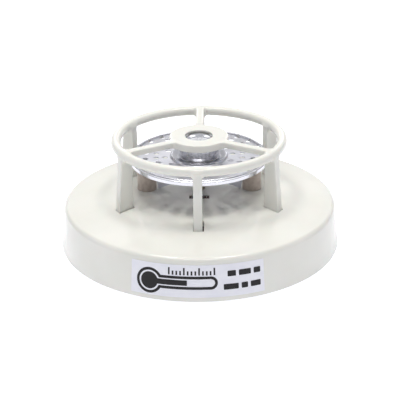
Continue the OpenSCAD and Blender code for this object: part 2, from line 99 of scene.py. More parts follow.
def roundCorners(points, steps=6):
    # points are (x, y) or (x, y, radius); a corner with a radius becomes an arc
    longest = 0.49  # an arc takes up to this share of each side
    out = []
    for i, point in enumerate(points):
        here = Vector(point[:2])
        if len(point) < 3:
            out.append(tuple(here))
            continue
        toBack = Vector(points[i - 1][:2]) - here
        toNext = Vector(points[(i + 1) % len(points)][:2]) - here
        turn = toBack.angle(toNext)
        reach = min(point[2] / math.tan(turn / 2), toBack.length * longest, toNext.length * longest)
        first = here + toBack.normalized() * reach
        last = here + toNext.normalized() * reach
        radius = reach * math.tan(turn / 2)
        inward = (toBack.normalized() + toNext.normalized()).normalized()
        centre = here + inward * (radius / math.sin(turn / 2))
        for k in range(steps + 1):
            mixed = (first - centre).lerp(last - centre, k / steps).normalized()
            out.append(tuple(centre + mixed * radius))
    return out


def circlePoint(centre, radius, angle):
    return centre[0] + radius * math.cos(angle), centre[1] + radius * math.sin(angle)


def latheMesh(name, points, steps=128, centre=(0, 0)):
    # closed outline of (radius, height) in mm, turned round an upright axis
    verts, rings = [], []
    for radius, height in roundCorners(points):
        if radius < 1e-6:
            verts.append((centre[0], centre[1], height))
            rings.append([len(verts) - 1] * steps)
            continue
        first = len(verts)
        for k in range(steps):
            x, y = circlePoint(centre, radius, 2 * math.pi * k / steps)
            verts.append((x, y, height))
        rings.append(list(range(first, first + steps)))
    faces = []
    for i, ring in enumerate(rings):
        other = rings[(i + 1) % len(rings)]
        for k in range(steps):
            n = (k + 1) % steps
            corners = []
            for v in (ring[k], ring[n], other[n], other[k]):
                if v not in corners:
                    corners.append(v)
            if len(corners) > 2:
                faces.append(corners)
    mesh = bpy.data.meshes.new(name)
    mesh.from_pydata([Vector(v) * mm for v in verts], [], faces)
    closeMesh(mesh)
    return mesh


def joinMeshes(name, meshes):
    work = bmesh.new()
    for mesh in meshes:
        work.from_mesh(mesh)
    joined = bpy.data.meshes.new(name)
    work.to_mesh(joined)
    work.free()
    return joined


def bakeModifiers(piece):
    evaluated = piece.evaluated_get(bpy.context.evaluated_depsgraph_get())
    mesh = bpy.data.meshes.new_from_object(evaluated)
    piece.modifiers.clear()
    piece.data = mesh
    return piece


def applyTree(piece, tree, values):
    # inputs are set by identifier before the first evaluation, then the result becomes a plain mesh
    modifier = piece.modifiers.new("nodes", "NODES")
    modifier.node_group = tree
    for item in tree.interface.items_tree:
        if item.item_type == "SOCKET" and item.in_out == "INPUT" and item.name in values:
            modifier[item.identifier] = values[item.name]
    bpy.context.view_layer.update()
    return bakeModifiers(piece)


def newTree(name, inputs):
    tree = bpy.data.node_groups.new(name, "GeometryNodeTree")
    tree.interface.new_socket(name="Geometry", in_out="INPUT", socket_type="NodeSocketGeometry")
    for label, kind in inputs:
        tree.interface.new_socket(name=label, in_out="INPUT", socket_type="NodeSocket" + kind)
    tree.interface.new_socket(name="Geometry", in_out="OUTPUT", socket_type="NodeSocketGeometry")
    return tree, tree.nodes.new("NodeGroupInput"), tree.nodes.new("NodeGroupOutput")


def finishTree(tree, given, result, geometry):
    real = addNode(tree, "GeometryNodeRealizeInstances", {"Geometry": geometry})
    painted = addNode(tree, "GeometryNodeSetMaterial",
                      {"Geometry": real.outputs["Geometry"], "Material": given.outputs["Material"]})
    tree.links.new(painted.outputs["Geometry"], result.inputs["Geometry"])


def addPiece(piece, body, slot, *replaced):
    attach(piece, body)
    if replaced:
        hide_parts(*replaced)


def newMaterial(name, roughness, metallic=0.0, ior=None, **sockets):
    material = bpy.data.materials.new(name)
    material.use_nodes = True
    shader = material.node_tree.nodes["Principled BSDF"]
    shader.inputs["Roughness"].default_value = roughness
    shader.inputs["Metallic"].default_value = metallic
    if ior:
        shader.inputs["IOR"].default_value = ior
    for label, value in sockets.items():
        shader.inputs[label].default_value = value
    place = addNode(material.node_tree, "ShaderNodeTexCoord")
    return material, material.node_tree, shader, place.outputs["Object"]


studio = {
    # camera: mm and degrees
    "distance": 600, "elevation": 24.08, "turn": 0.94, "roll": -0.70,
    "aim": (0.14, 0, 17.47), "lens": 128.86, "sensor": 36,
    # room: light from it, brightness where the camera sees it, colour
    "world": 0.16, "backdrop": 1.35, "worldColor": "#e6ebff",
    "floorHalf": 3000, "floorZ": -0.05, "floorRoughness": 0.9,
    "floorColor": "#e4e4e4", "floorGlow": 0.52, "glowColor": "#f3f5ff",
    "lights": [
        # name, place in mm, aim in mm, size in mm, watts, colour
        ("overheadSoftbox", (0, 350, 760), (0, 350, 0), (900, 1100), 3.25, "#fffefb"),
        ("whiteBackdrop", (0, 960, 430), (0, 0, 60), (1700, 760), 2.3, "#ffffff"),
        ("leftBackPanel", (-150, 900, 400), (0, 0, 40), (95, 170), 0.16, "#ffffff"),
        ("rightBackPanel", (150, 900, 400), (0, 0, 40), (95, 170), 0.16, "#ffffff"),
        ("frontSoftbox", (-40, -330, 700), (0, 0, 20), (420, 150), 1.4, "#fffefb"),
        ("leftSoftbox", (-760, -20, 290), (0, 0, 30), (520, 400), 0.28, "#e8ecff"),
        ("rightSoftbox", (760, -20, 290), (0, 0, 30), (520, 400), 0.23, "#e8ecff"),
        ("leftLamp", (-175, 30, 800), (0, 0, 30), (200, 150), 1.3, "#fffefb"),
        ("rightLamp", (160, 30, 800), (0, 0, 30), (180, 150), 1.2, "#fffefb"),
    ],
}


def addCamera(scene):
    data = bpy.data.cameras.new("camera")
    data.lens, data.sensor_width = studio["lens"], studio["sensor"]
    data.clip_start, data.clip_end = 0.01, 20
    camera = bpy.data.objects.new("camera", data)
    scene.collection.objects.link(camera)
    e, r = math.radians(studio["elevation"]), math.radians(studio["roll"])
    forward = Vector((0, math.cos(e), -math.sin(e)))
    side, up = Vector((1, 0, 0)), Vector((0, math.sin(e), math.cos(e)))
    right = side * math.cos(r) + up * math.sin(r)
    top = up * math.cos(r) - side * math.sin(r)
    at = Vector(studio["aim"]) * mm - forward * studio["distance"] * mm
    stand = Matrix.Translation(at) @ Matrix((right, top, -forward)).transposed().to_4x4()
    camera.matrix_world = Matrix.Rotation(math.radians(studio["turn"]), 4, "Z") @ stand
    scene.camera = camera


def addLights(scene):
    for name, place, aim, size, watts, color in studio["lights"]:
        lamp = bpy.data.lights.new(name, "AREA")
        lamp.shape, lamp.size, lamp.size_y = "RECTANGLE", size[0] * mm, size[1] * mm
        lamp.energy, lamp.color = watts, hexColor(color)[:3]
        stand = bpy.data.objects.new(name, lamp)
        scene.collection.objects.link(stand)
        stand.location = Vector(place) * mm
        stand.rotation_euler = (Vector(aim) - Vector(place)).to_track_quat("-Z", "Y").to_euler()


def addWorld(scene):
    # the backdrop shows white, and lights the object only softly
    world = bpy.data.worlds.new("studioWorld")
    world.use_nodes = True
    tree = world.node_tree
    background = tree.nodes["Background"]
    background.inputs["Color"].default_value = hexColor(studio["worldColor"])
    path = addNode(tree, "ShaderNodeLightPath")
    level = addNode(tree, "ShaderNodeMapRange", {
        "Value": path.outputs["Is Camera Ray"], "To Min": studio["world"], "To Max": studio["backdrop"]})
    tree.links.new(level.outputs["Result"], background.inputs["Strength"])
    scene.world = world


def addFloor():
    # white paper sweep: matt, and glowing a little so that it stays white round the object
    half, z = studio["floorHalf"] * mm, studio["floorZ"] * mm
    mesh = bpy.data.meshes.new("floor")
    mesh.from_pydata([(-half, -half, z), (half, -half, z), (half, half, z), (-half, half, z)], [],
                     [(0, 1, 2, 3)])
    paper = newMaterial("whitePaperSweep", studio["floorRoughness"], **{
        "Base Color": hexColor(studio["floorColor"]), "Emission Color": hexColor(studio["glowColor"]),
        "Emission Strength": studio["floorGlow"]})[0]
    addObject("floor", mesh, paper)


studioScene = bpy.context.scene
studioScene.view_settings.view_transform = "Standard"
addCamera(studioScene)
addLights(studioScene)
addWorld(studioScene)
addFloor()
print("studio ready:", len(studio["lights"]), "lights")


def grainHeight(tree, place, size, detail=2.0):
    # soft noise whose patches are size mm across
    noise = addNode(tree, "ShaderNodeTexNoise", {"Vector": place, "Scale": 1 / (size * mm), "Detail": detail})
    return noise.outputs["Fac"]


def paintTones(tree, level, shader, low, high, stops=(0.35, 0.65)):
    # base colour from the low tone to the high one
    ramp = addNode(tree, "ShaderNodeValToRGB", {"Fac": level})
    for stop, position, code in zip(ramp.color_ramp.elements, stops, (low, high)):
        stop.position, stop.color = position, hexColor(code)
    tree.links.new(ramp.outputs["Color"], shader.inputs["Base Color"])
    return ramp.outputs["Color"]


def paintNoise(tree, place, shader, low, high, size, detail=3):
    # two close tones in soft patches; size is one patch in mm
    return paintTones(tree, grainHeight(tree, place, size, detail), shader, low, high)


def varyRoughness(tree, place, shader, low, high, size):
    level = addNode(tree, "ShaderNodeMapRange", {
        "Value": grainHeight(tree, place, size, 4.0), "From Min": 0.3, "From Max": 0.7,
        "To Min": low, "To Max": high})
    tree.links.new(level.outputs["Result"], shader.inputs["Roughness"])


def addBump(tree, height, shader, depth):
    # depth in mm
    bump = addNode(tree, "ShaderNodeBump", {"Height": height, "Distance": depth * mm, "Strength": 1.0})
    tree.links.new(bump.outputs["Normal"], shader.inputs["Normal"])


def axisRadius(tree, place):
    # distance from the Z axis, and the height along it
    split = addNode(tree, "ShaderNodeSeparateXYZ", {"Vector": place})
    flat = addNode(tree, "ShaderNodeCombineXYZ", {"X": split.outputs["X"], "Y": split.outputs["Y"]})
    radius = addNode(tree, "ShaderNodeVectorMath", {0: flat.outputs["Vector"]}, operation="LENGTH")
    return radius.outputs["Value"], split.outputs["Z"]


def turnedHeight(tree, place, pitch):
    # fine rings left by turning or spinning round the Z axis, pitch in mm
    radius, height = axisRadius(tree, place)
    rings = addNode(tree, "ShaderNodeCombineXYZ", {"X": radius, "Y": height})
    return grainHeight(tree, rings.outputs["Vector"], pitch)


def makeMouldedAbs():
    # ABS, injection moulded from a polished tool: warm off-white, soft gloss, a trace of light inside,
    # faint flow tone and a slow 2.5 mm ripple of a few microns that softens long highlights
    material, tree, shader, place = newMaterial(
        "mouldedAbs", 0.16, ior=1.54, **{"Subsurface Weight": 0.06, "Subsurface Scale": 0.0012})
    paintNoise(tree, place, shader, "#ecebe2", "#f1f0e8", 24)
    varyRoughness(tree, place, shader, 0.13, 0.2, 7)
    addBump(tree, grainHeight(tree, place, 2.5, 1.0), shader, 0.003)
    return material


def makeLabelStock():
    # printed polyester label: cool white film, smooth, slightly mottled by its adhesive
    material, tree, shader, place = newMaterial("polyesterLabel", 0.38, ior=1.5)
    paintNoise(tree, place, shader, "#f3f3fa", "#f8f8fd", 3.0)
    varyRoughness(tree, place, shader, 0.32, 0.45, 2.0)
    addBump(tree, grainHeight(tree, place, 1.5), shader, 0.003)
    return material


def makeLabelInk():
    # screen-printed ink: near black, low sheen, faintly uneven where the film is thin
    material, tree, shader, place = newMaterial("screenPrintInk", 0.5, ior=1.45)
    paintNoise(tree, place, shader, "#0b090b", "#151215", 0.6)
    addBump(tree, grainHeight(tree, place, 0.15), shader, 0.004)
    return material


def makeCollectorSheet():
    # aluminium sheet, pressed then matt anodised: pale lavender-silver and satin; the rolled rim and the lip
    # are drawn smoother, and their colour is lightened as a painted highlight
    rimFrom, lipAt, lipHalf = 26.85, 11.45, 0.4  # radii in mm, and half the lip's width
    smoother = -0.09
    material, tree, shader, place = newMaterial("satinAnodisedAluminium", 0.32, metallic=0.9)
    sheetTone = paintNoise(tree, place, shader, "#d8d8df", "#dfdfe5", 5.0)
    radius = axisRadius(tree, place)[0]
    onRim = addNode(tree, "ShaderNodeMath", {0: radius, 1: rimFrom * mm}, operation="GREATER_THAN")
    onLip = addNode(tree, "ShaderNodeMath", {0: radius, 1: lipAt * mm, 2: lipHalf * mm}, operation="COMPARE")
    paintedHighlightSmoothBand = addNode(tree, "ShaderNodeMath", {0: onRim.outputs["Value"], 1: onLip.outputs["Value"]},
                        operation="MAXIMUM")
    # painted highlight: the rim and the lip take a lighter colour that stands in for the bright bands of light
    # on them
    tone = addNode(tree, "ShaderNodeMix", {
        "Factor": paintedHighlightSmoothBand.outputs["Value"], "A": sheetTone, "B": hexColor("#e6e6ec")}, data_type="RGBA")
    tree.links.new(tone.outputs["Result"], shader.inputs["Base Color"])
    matt = addNode(tree, "ShaderNodeMapRange", {
        "Value": grainHeight(tree, place, 2.5, 4.0), "To Min": 0.27, "To Max": 0.38})
    level = addNode(tree, "ShaderNodeMath", {
        0: paintedHighlightSmoothBand.outputs["Value"], 1: smoother, 2: matt.outputs["Result"]}, operation="MULTIPLY_ADD")
    tree.links.new(level.outputs["Value"], shader.inputs["Roughness"])
    addBump(tree, turnedHeight(tree, place, 0.6), shader, 0.001)
    return material


def makeBrightPlate():
    # nickel plate on a deep-drawn cup: bright mirror, with upright draw marks 0.5 mm apart
    material, tree, shader, place = newMaterial("brightNickelPlate", 0.12, metallic=1.0)
    marks = addNode(tree, "ShaderNodeMapping", {"Vector": place, "Scale": (1, 1, 0.04)})
    paintNoise(tree, marks.outputs["Vector"], shader, "#bcbdc2", "#d2d2d6", 0.9)
    varyRoughness(tree, place, shader, 0.13, 0.19, 1.0)
    addBump(tree, grainHeight(tree, marks.outputs["Vector"], 0.5, 0.0), shader, 0.0025)
    return material


def makeFusibleAlloy():
    # low-melting solder, poured: dull grey, crystalline mottle
    material, tree, shader, place = newMaterial("fusibleSolder", 0.45, metallic=0.9)
    paintNoise(tree, place, shader, "#7d7a76", "#a3a09b", 0.5)
    addBump(tree, grainHeight(tree, place, 0.35, 4.0), shader, 0.03)
    return material


def makeBrass():
    # free-cutting brass, turned: warm yellow, fine rings, a little tarnish
    material, tree, shader, place = newMaterial("turnedBrass", 0.28, metallic=1.0)
    paintNoise(tree, place, shader, "#a98a4c", "#c9ab68", 1.5)
    varyRoughness(tree, place, shader, 0.22, 0.4, 0.8)
    addBump(tree, turnedHeight(tree, place, 0.15), shader, 0.004)
    return material


def makePlainSteel():
    # zinc-plated steel: light grey with faint cloudy tone and tumbling marks
    material, tree, shader, place = newMaterial("zincPlatedSteel", 0.32, metallic=1.0)
    paintNoise(tree, place, shader, "#a6a8ad", "#c3c5c9", 0.9)
    varyRoughness(tree, place, shader, 0.26, 0.42, 0.6)
    addBump(tree, grainHeight(tree, place, 0.25, 3.0), shader, 0.006)
    return material


def makeSpringSteel():
    # drawn stainless wire: mid grey, drawn lines
    material, tree, shader, place = newMaterial("drawnSpringWire", 0.25, metallic=1.0)
    paintNoise(tree, place, shader, "#8f9196", "#b4b6ba", 0.5)
    addBump(tree, grainHeight(tree, place, 0.08), shader, 0.003)
    return material


def makeBlackPlastic():
    # glass-filled nylon, moulded: near black, matt, mottled by the fibres
    material, tree, shader, place = newMaterial("glassFilledNylon", 0.5, ior=1.53)
    paintNoise(tree, place, shader, "#252220", "#37322f", 0.5)
    addBump(tree, grainHeight(tree, place, 0.2, 3.0), shader, 0.01)
    return material


def makeGreyPlastic():
    # phenolic standoff, moulded: smooth with a soft sheen; its warm beige-grey is darker than the housing's
    # plastic as painted shade, for the shade under the disc
    material, tree, shader, place = newMaterial("phenolicStandoff", 0.33, ior=1.58)
    # painted shade: the posts' colour is darkened and warmed to stand in for the shade they stand in under the
    # disc
    paintNoise(tree, place, shader, "#bfafa2", "#cdbfb2", 1.6)
    varyRoughness(tree, place, shader, 0.28, 0.4, 1.2)
    addBump(tree, grainHeight(tree, place, 0.3), shader, 0.008)
    return material


def makeBridgeSheet():
    # pressed aluminium strip with hardly any mirror: pale cool grey, lightened as painted light against the
    # shade it stands in under the disc; rolled grain
    material, tree, shader, place = newMaterial("pressedAluminiumStrip", 0.45, metallic=0.1)
    # painted light: the strip's colour is raised near white to offset the shade under the disc
    paintNoise(tree, place, shader, "#ededf7", "#f4f4fb", 2.0)
    varyRoughness(tree, place, shader, 0.34, 0.48, 1.2)
    addBump(tree, grainHeight(tree, place, 0.18), shader, 0.005)
    return material


def makePhenolic():
    # compression-moulded phenolic board: dark brown, resin mottle, dull gloss
    material, tree, shader, place = newMaterial("phenolicBoard", 0.4, ior=1.6)
    paintNoise(tree, place, shader, "#3a1d13", "#4f2a1c", 1.8, detail=5)
    varyRoughness(tree, place, shader, 0.32, 0.5, 2.0)
    addBump(tree, grainHeight(tree, place, 0.35, 4.0), shader, 0.015)
    return material


def makeSealRubber():
    # EPDM foam strip: charcoal, matt, open skin
    material, tree, shader, place = newMaterial("epdmFoam", 0.8, ior=1.5)
    paintNoise(tree, place, shader, "#212123", "#323234", 0.6)
    cells = addNode(tree, "ShaderNodeTexVoronoi", {"Vector": place, "Scale": 1 / (0.5 * mm)})
    addBump(tree, cells.outputs["Distance"], shader, 0.05)
    return material


def makeSpunAluminium():
    # spun aluminium cup: soft silver with visible spinning rings
    material, tree, shader, place = newMaterial("spunAluminium", 0.34, metallic=1.0)
    paintNoise(tree, place, shader, "#b9bbbf", "#cdced1", 2.0)
    addBump(tree, turnedHeight(tree, place, 0.4), shader, 0.008)
    return material


def makeSpringBronze():
    # phosphor bronze strip: red-gold, rolled, slightly toned
    material, tree, shader, place = newMaterial("phosphorBronze", 0.3, metallic=1.0)
    paintNoise(tree, place, shader, "#a8784c", "#c39465", 1.2)
    varyRoughness(tree, place, shader, 0.24, 0.38, 0.8)
    addBump(tree, grainHeight(tree, place, 0.1), shader, 0.003)
    return material


def makeContactSilver():
    # fine silver rivet: bright, faint sulphide bloom
    material, tree, shader, place = newMaterial("contactSilver", 0.25, metallic=1.0)
    paintNoise(tree, place, shader, "#c9c6bf", "#e3e2df", 0.4)
    return material


def makeWhiteInsulator():
    # acetal button: milky white, waxy
    material, tree, shader, place = newMaterial("whiteAcetal", 0.35, ior=1.48, **{"Subsurface Weight": 0.08})
    paintNoise(tree, place, shader, "#e6e5df", "#efeee9", 1.0)
    addBump(tree, grainHeight(tree, place, 0.2), shader, 0.004)
    return material


def makeGalvanisedSteel():
    # galvanised steel sheet: blue-grey spangle of 4 mm crystals
    material, tree, shader, place = newMaterial("galvanisedSheet", 0.42, metallic=0.95)
    crystals = addNode(tree, "ShaderNodeTexVoronoi", {"Vector": place, "Scale": 1 / (4 * mm)})
    paintTones(tree, crystals.outputs["Color"], shader, "#92959a", "#b9bcc0", (0, 1))
    varyRoughness(tree, place, shader, 0.34, 0.5, 2.0)
    addBump(tree, grainHeight(tree, place, 0.3), shader, 0.006)
    return material


finishes = {
    "moulded_plastic": makeMouldedAbs(),
    "label_stock": makeLabelStock(),
    "collector_sheet": makeCollectorSheet(),
    "bright_plate": makeBrightPlate(),
    "fusible_alloy": makeFusibleAlloy(),
    "brass": makeBrass(),
    "plain_steel": makePlainSteel(),
    "spring_steel": makeSpringSteel(),
    "black_plastic": makeBlackPlastic(),
    "grey_plastic": makeGreyPlastic(),
    "bridge_sheet": makeBridgeSheet(),
    "phenolic": makePhenolic(),
    "seal_rubber": makeSealRubber(),
    "spun_aluminium": makeSpunAluminium(),
    "spring_bronze": makeSpringBronze(),
    "contact_silver": makeContactSilver(),
    "white_insulator": makeWhiteInsulator(),
    "galvanised_steel": makeGalvanisedSteel(),
}
labelInk = makeLabelInk()
for part in frame["record"]["subparts"]:
    for holder in nodes[part["node"]].material_slots:
        holder.material = finishes[part["material_slot"]]
print("finishes made:", len(finishes) + 1)


def mergedCopy(name, node, material, angle):
    # the node's own shape with its seams merged, so its curves shade as one surface
    mesh = nodes[node].data.copy()
    mesh.name = name
    mesh.materials.clear()
    closeMesh(mesh)
    shadeByAngle(mesh, angle)
    return addObject(name, mesh, material)


housing = {"sharpFrom": 20}  # degrees between faces past which an edge shows crisp
housingShell = mergedCopy("housingShell", "housing", finishes["moulded_plastic"], housing["sharpFrom"])
addPiece(housingShell, "detector", "moulded_plastic", "housing")
print("housing:", len(housingShell.data.polygons), "faces")

cage = {
    "topZ": 46.75, "ringR": 34.15, "tubeR": 2.0, "turn": -0.3,
    "hubR": 12.1, "hubH": 3.35, "hubHole": 5.7, "hubWeb": 1.0, "hubBore": 9.6, "boreFrom": 40,
    "spokes": 3, "firstSpoke": 90, "spokeW": 3.4, "spokeH": 2.7, "spokeSink": 0.1, "spokeRoot": 1.5,
    "legs": 6, "firstLeg": 30, "legT": 3.6, "footT": 3.0,
    # roundings of edges, then of the corners where two shapes meet
    "legEdge": 0.4, "footEdge": 0.2, "spokeEdge": 0.7, "hubEdge": 0.6,
    "fillet": 1.8, "footFillet": 0.3, "flatTop": 0.5, "boreRound": 0.4, "holeRound": 0.2,
    # outlines of a leg and its foot as (radius, height)
    "leg": [(31.55, 21.6), (37.55, 19.0), (38.1, 20.35), (36.3, 44.35), (34.15, 44.95), (32.05, 43.95),
            (31.55, 41.25)],
    "foot": [(31.65, 21.8), (31.65, 15.8), (36.55, 15.8), (38.75, 18.15), (37.65, 18.65), (37.65, 20.6)],
    # the mesh: size of a cell, box that it fills, and angle past which an edge shows crisp
    "grid": 0.4, "boxLow": (-39.4, -39.4, 15.2), "boxHigh": (39.4, 39.4, 47.4), "sharpFrom": 38,
}


def smoothMin(a, b, reach):
    # joins two shapes with a fillet about as wide as the reach
    overlap = np.clip(1 - np.abs(a - b) / reach, 0, 1)
    return np.minimum(a, b) - overlap * overlap * reach / 4


def smoothMax(a, b, reach):
    return -smoothMin(-a, -b, reach)


def slabDistance(flat, across, edge):
    # a flat outline given a thickness, its edges rounded
    u, v = flat + edge, across + edge
    return np.minimum(np.maximum(u, v), 0) + np.hypot(np.maximum(u, 0), np.maximum(v, 0)) - edge


def outlineDistance(x, y, points):
    best = np.full(x.shape, 1e9, np.float32)
    inside = np.zeros(x.shape, bool)
    for (ax, ay), (bx, by) in zip(points, points[1:] + points[:1]):
        ex, ey = bx - ax, by - ay
        wx, wy = x - ax, y - ay
        along = np.clip((wx * ex + wy * ey) / (ex * ex + ey * ey), 0, 1)
        best = np.minimum(best, (wx - ex * along) ** 2 + (wy - ey * along) ** 2)
        if ey:
            inside ^= ((ay > y) != (by > y)) & (wx < ex * wy / ey)
    return np.where(inside, -1, 1) * np.sqrt(best)


def foldAngle(x, y, first, arms):
    # turns every point into the sector that holds the arm at the first angle
    radius = np.hypot(x, y)
    angle = np.arctan2(y, x) - math.radians(first)
    sector = math.radians(360 / arms)
    angle = angle - sector * np.round(angle / sector)
    return radius * np.cos(angle), radius * np.sin(angle)


def spokeDistance(x, y, z):
    c = cage
    along, across = foldAngle(x, y, c["firstSpoke"], c["spokes"])
    inner, outer = c["hubR"] - c["spokeRoot"], c["ringR"]
    ends = np.abs(along - (inner + outer) / 2) - (outer - inner) / 2
    middle = c["topZ"] - c["spokeSink"] - c["spokeH"] / 2
    return slabDistance(np.maximum(ends, np.abs(across) - c["spokeW"] / 2),
                        np.abs(z - middle) - c["spokeH"] / 2, c["spokeEdge"])


def cageDistance(x, y, z):
    # the whole moulding: ring, spokes, hub, legs and feet, then the hub's bore and hole
    c = cage
    turn = math.radians(c["turn"])
    x, y = x * math.cos(turn) + y * math.sin(turn), y * math.cos(turn) - x * math.sin(turn)
    radius = np.hypot(x, y)
    shape = np.hypot(radius - c["ringR"], z - (c["topZ"] - c["tubeR"])) - c["tubeR"]
    shape = smoothMin(shape, spokeDistance(x, y, z), c["fillet"])
    hub = slabDistance(radius - c["hubR"], np.abs(z - c["topZ"] + c["hubH"] / 2) - c["hubH"] / 2, c["hubEdge"])
    shape = smoothMin(shape, hub, c["fillet"])
    along, across = foldAngle(x, y, c["firstLeg"], c["legs"])
    leg = slabDistance(outlineDistance(along, z, c["leg"]), np.abs(across) - c["legT"] / 2, c["legEdge"])
    shape = smoothMin(shape, leg, c["fillet"])
    foot = slabDistance(outlineDistance(along, z, c["foot"]), np.abs(across) - c["footT"] / 2, c["footEdge"])
    shape = smoothMin(shape, foot, c["footFillet"])
    shape = smoothMax(shape, z - c["topZ"], c["flatTop"])
    bore = np.maximum(radius - c["hubBore"], z - (c["topZ"] - c["hubWeb"]))
    shape = smoothMax(shape, -np.where(z > c["boreFrom"], bore, 9), c["boreRound"])
    return smoothMax(shape, c["hubHole"] - radius, c["holeRound"])


def netMesh(name, distance, low, high, grid):
    # surface of a distance field: one vertex for each cell that it crosses, then drawn onto it
    rounds, probe = 5, 0.02  # how often the vertices are drawn in, and the reach in mm that finds the slope
    axes = [np.arange(a, b + grid, grid, dtype=np.float32) for a, b in zip(low, high)]
    field = distance(*np.meshgrid(*axes, indexing="ij"))
    solid = field < 0
    nx, ny, nz = field.shape
    corners = sum(solid[i:nx - 1 + i, j:ny - 1 + j, k:nz - 1 + k].astype(np.int8)
                  for i in (0, 1) for j in (0, 1) for k in (0, 1))
    cells = np.argwhere((corners > 0) & (corners < 8))
    number = np.full(corners.shape, -1, np.int64)
    number[tuple(cells.T)] = np.arange(len(cells))
    points = (np.array([a[0] for a in axes]) + (cells + 0.5) * grid).astype(np.float64)
    for _ in range(rounds):
        here = distance(*points.T)
        slope = np.stack([(distance(*(points + offset).T) - distance(*(points - offset).T)) / (2 * probe)
                          for offset in np.eye(3) * probe], axis=1)
        move = -slope * (here / np.maximum((slope ** 2).sum(1), 0.05))[:, None]
        points += np.clip(move, -grid, grid)
    faces = []
    for axis in range(3):
        start, stop = [slice(None)] * 3, [slice(None)] * 3
        start[axis], stop[axis] = slice(0, -1), slice(1, None)
        a, b = solid[tuple(start)], solid[tuple(stop)]
        u, v = (axis + 1) % 3, (axis + 2) % 3
        for crossing, flip in ((a & ~b, False), (~a & b, True)):
            at = np.argwhere(crossing)
            at = at[(at[:, u] > 0) & (at[:, v] > 0)]
            around = []
            for du, dv in ((-1, -1), (0, -1), (0, 0), (-1, 0)):
                cell = at.copy()
                cell[:, u] += du
                cell[:, v] += dv
                around.append(number[tuple(cell.T)])
            quads = np.stack(around, axis=1)
            faces.append(quads[:, ::-1] if flip else quads)
    mesh = bpy.data.meshes.new(name)
    mesh.from_pydata((points * mm).tolist(), [], np.concatenate(faces).tolist())
    mesh.update()
    return mesh


cageMesh = netMesh("guardCage", cageDistance, cage["boxLow"], cage["boxHigh"], cage["grid"])
closeMesh(cageMesh)
shadeByAngle(cageMesh, cage["sharpFrom"])
guardCage = addObject("guardCage", cageMesh, finishes["moulded_plastic"])
addPiece(guardCage, "detector", "moulded_plastic", "guard_cage")
print("guard cage:", len(cageMesh.polygons), "faces")

collector = {
    "discR": 28.65, "discZ": 37.55, "sheet": 0.35, "floorZ": 37.45, "boreR": 7.4, "wellR": 8.95,
    "lipR": 11.4, "lipH": 0.95, "beadH": 0.8, "skirt": 1.4, "steps": 256, "sharpFrom": 36,
    # holes: radius, rings as (radius, holes), turn in degrees, and the punch's length and sides
    "holeR": 1.2, "rings": [(14, 12), (17.9, 24), (22.2, 24), (26, 24)], "phase": 7.5,
    "punchH": 4, "punchSides": 24,
}


def collectorOutline():
    c = collector
    sheet, top, floor, rim, lip = c["sheet"], c["discZ"], c["floorZ"], c["discR"], c["lipR"]
    lipTop, beadTop, edge = top + c["lipH"], top + c["beadH"], top - c["skirt"]
    upper = [  # from the bore out: well, rolled lip, flat face, beaded rim, edge
        (c["boreR"], floor), (c["wellR"], floor, 0.5), (lip - 0.25, lipTop, 0.25), (lip + 0.1, lipTop, 0.17),
        (lip + 0.65, top, 0.6), (rim - 2.0, top, 0.2), (rim - 1.75, beadTop, 0.5), (rim - 0.9, beadTop, 0.4),
        (rim - 0.75, top + 0.3, 0.06), (rim - 0.55, top + 0.35, 0.1), (rim, top + 0.15, 0.35),
        (rim, edge, 0.12)]
    under = [  # and back to the bore
        (rim - sheet, edge, 0.12), (rim - sheet - 0.3, top - 0.1, 0.3), (rim - 1.4, top + 0.3, 0.3),
        (rim - 1.75, top - sheet, 0.5), (lip + 0.8, top - sheet, 0.5), (lip + 0.2, top + 0.3, 0.2),
        (lip - 0.2, top + 0.3, 0.3), (9.1, floor - sheet, 0.8), (c["boreR"], floor - sheet)]
    return upper + under


def makePerforator():
    # punches rings of round holes through a sheet
    inputs = [("Hole Radius", "Float"), ("Punch Height", "Float"), ("Punch Sides", "Int"), ("Height", "Float"),
              ("Phase", "Float"), ("Material", "Material")]
    ringNames = [f"Ring {i + 1}" for i in range(len(collector["rings"]))]
    for ringName in ringNames:
        inputs += [(ringName + " Radius", "Float"), (ringName + " Holes", "Int")]
    tree, given, result = newTree("perforateSheet", inputs)
    punch = addNode(tree, "GeometryNodeMeshCylinder", {
        "Vertices": given.outputs["Punch Sides"], "Radius": given.outputs["Hole Radius"],
        "Depth": given.outputs["Punch Height"]})
    join = addNode(tree, "GeometryNodeJoinGeometry")
    for ringName in ringNames:
        ring = addNode(tree, "GeometryNodeMeshCircle", {
            "Vertices": given.outputs[ringName + " Holes"], "Radius": given.outputs[ringName + " Radius"]})
        spots = addNode(tree, "GeometryNodeInstanceOnPoints", {
            "Points": ring.outputs["Mesh"], "Instance": punch.outputs["Mesh"]})
        tree.links.new(spots.outputs["Instances"], join.inputs["Geometry"])
    turn = addNode(tree, "ShaderNodeCombineXYZ", {"Z": given.outputs["Phase"]})
    lift = addNode(tree, "ShaderNodeCombineXYZ", {"Z": given.outputs["Height"]})
    placed = addNode(tree, "GeometryNodeTransform", {
        "Geometry": join.outputs["Geometry"], "Rotation": turn.outputs["Vector"],
        "Translation": lift.outputs["Vector"]})
    real = addNode(tree, "GeometryNodeRealizeInstances", {"Geometry": placed.outputs["Geometry"]})
    cut = addNode(tree, "GeometryNodeMeshBoolean", {0: given.outputs["Geometry"], 1: real.outputs["Geometry"]},
                  operation="DIFFERENCE", solver="EXACT")
    finishTree(tree, given, result, cut.outputs["Mesh"])
    return tree


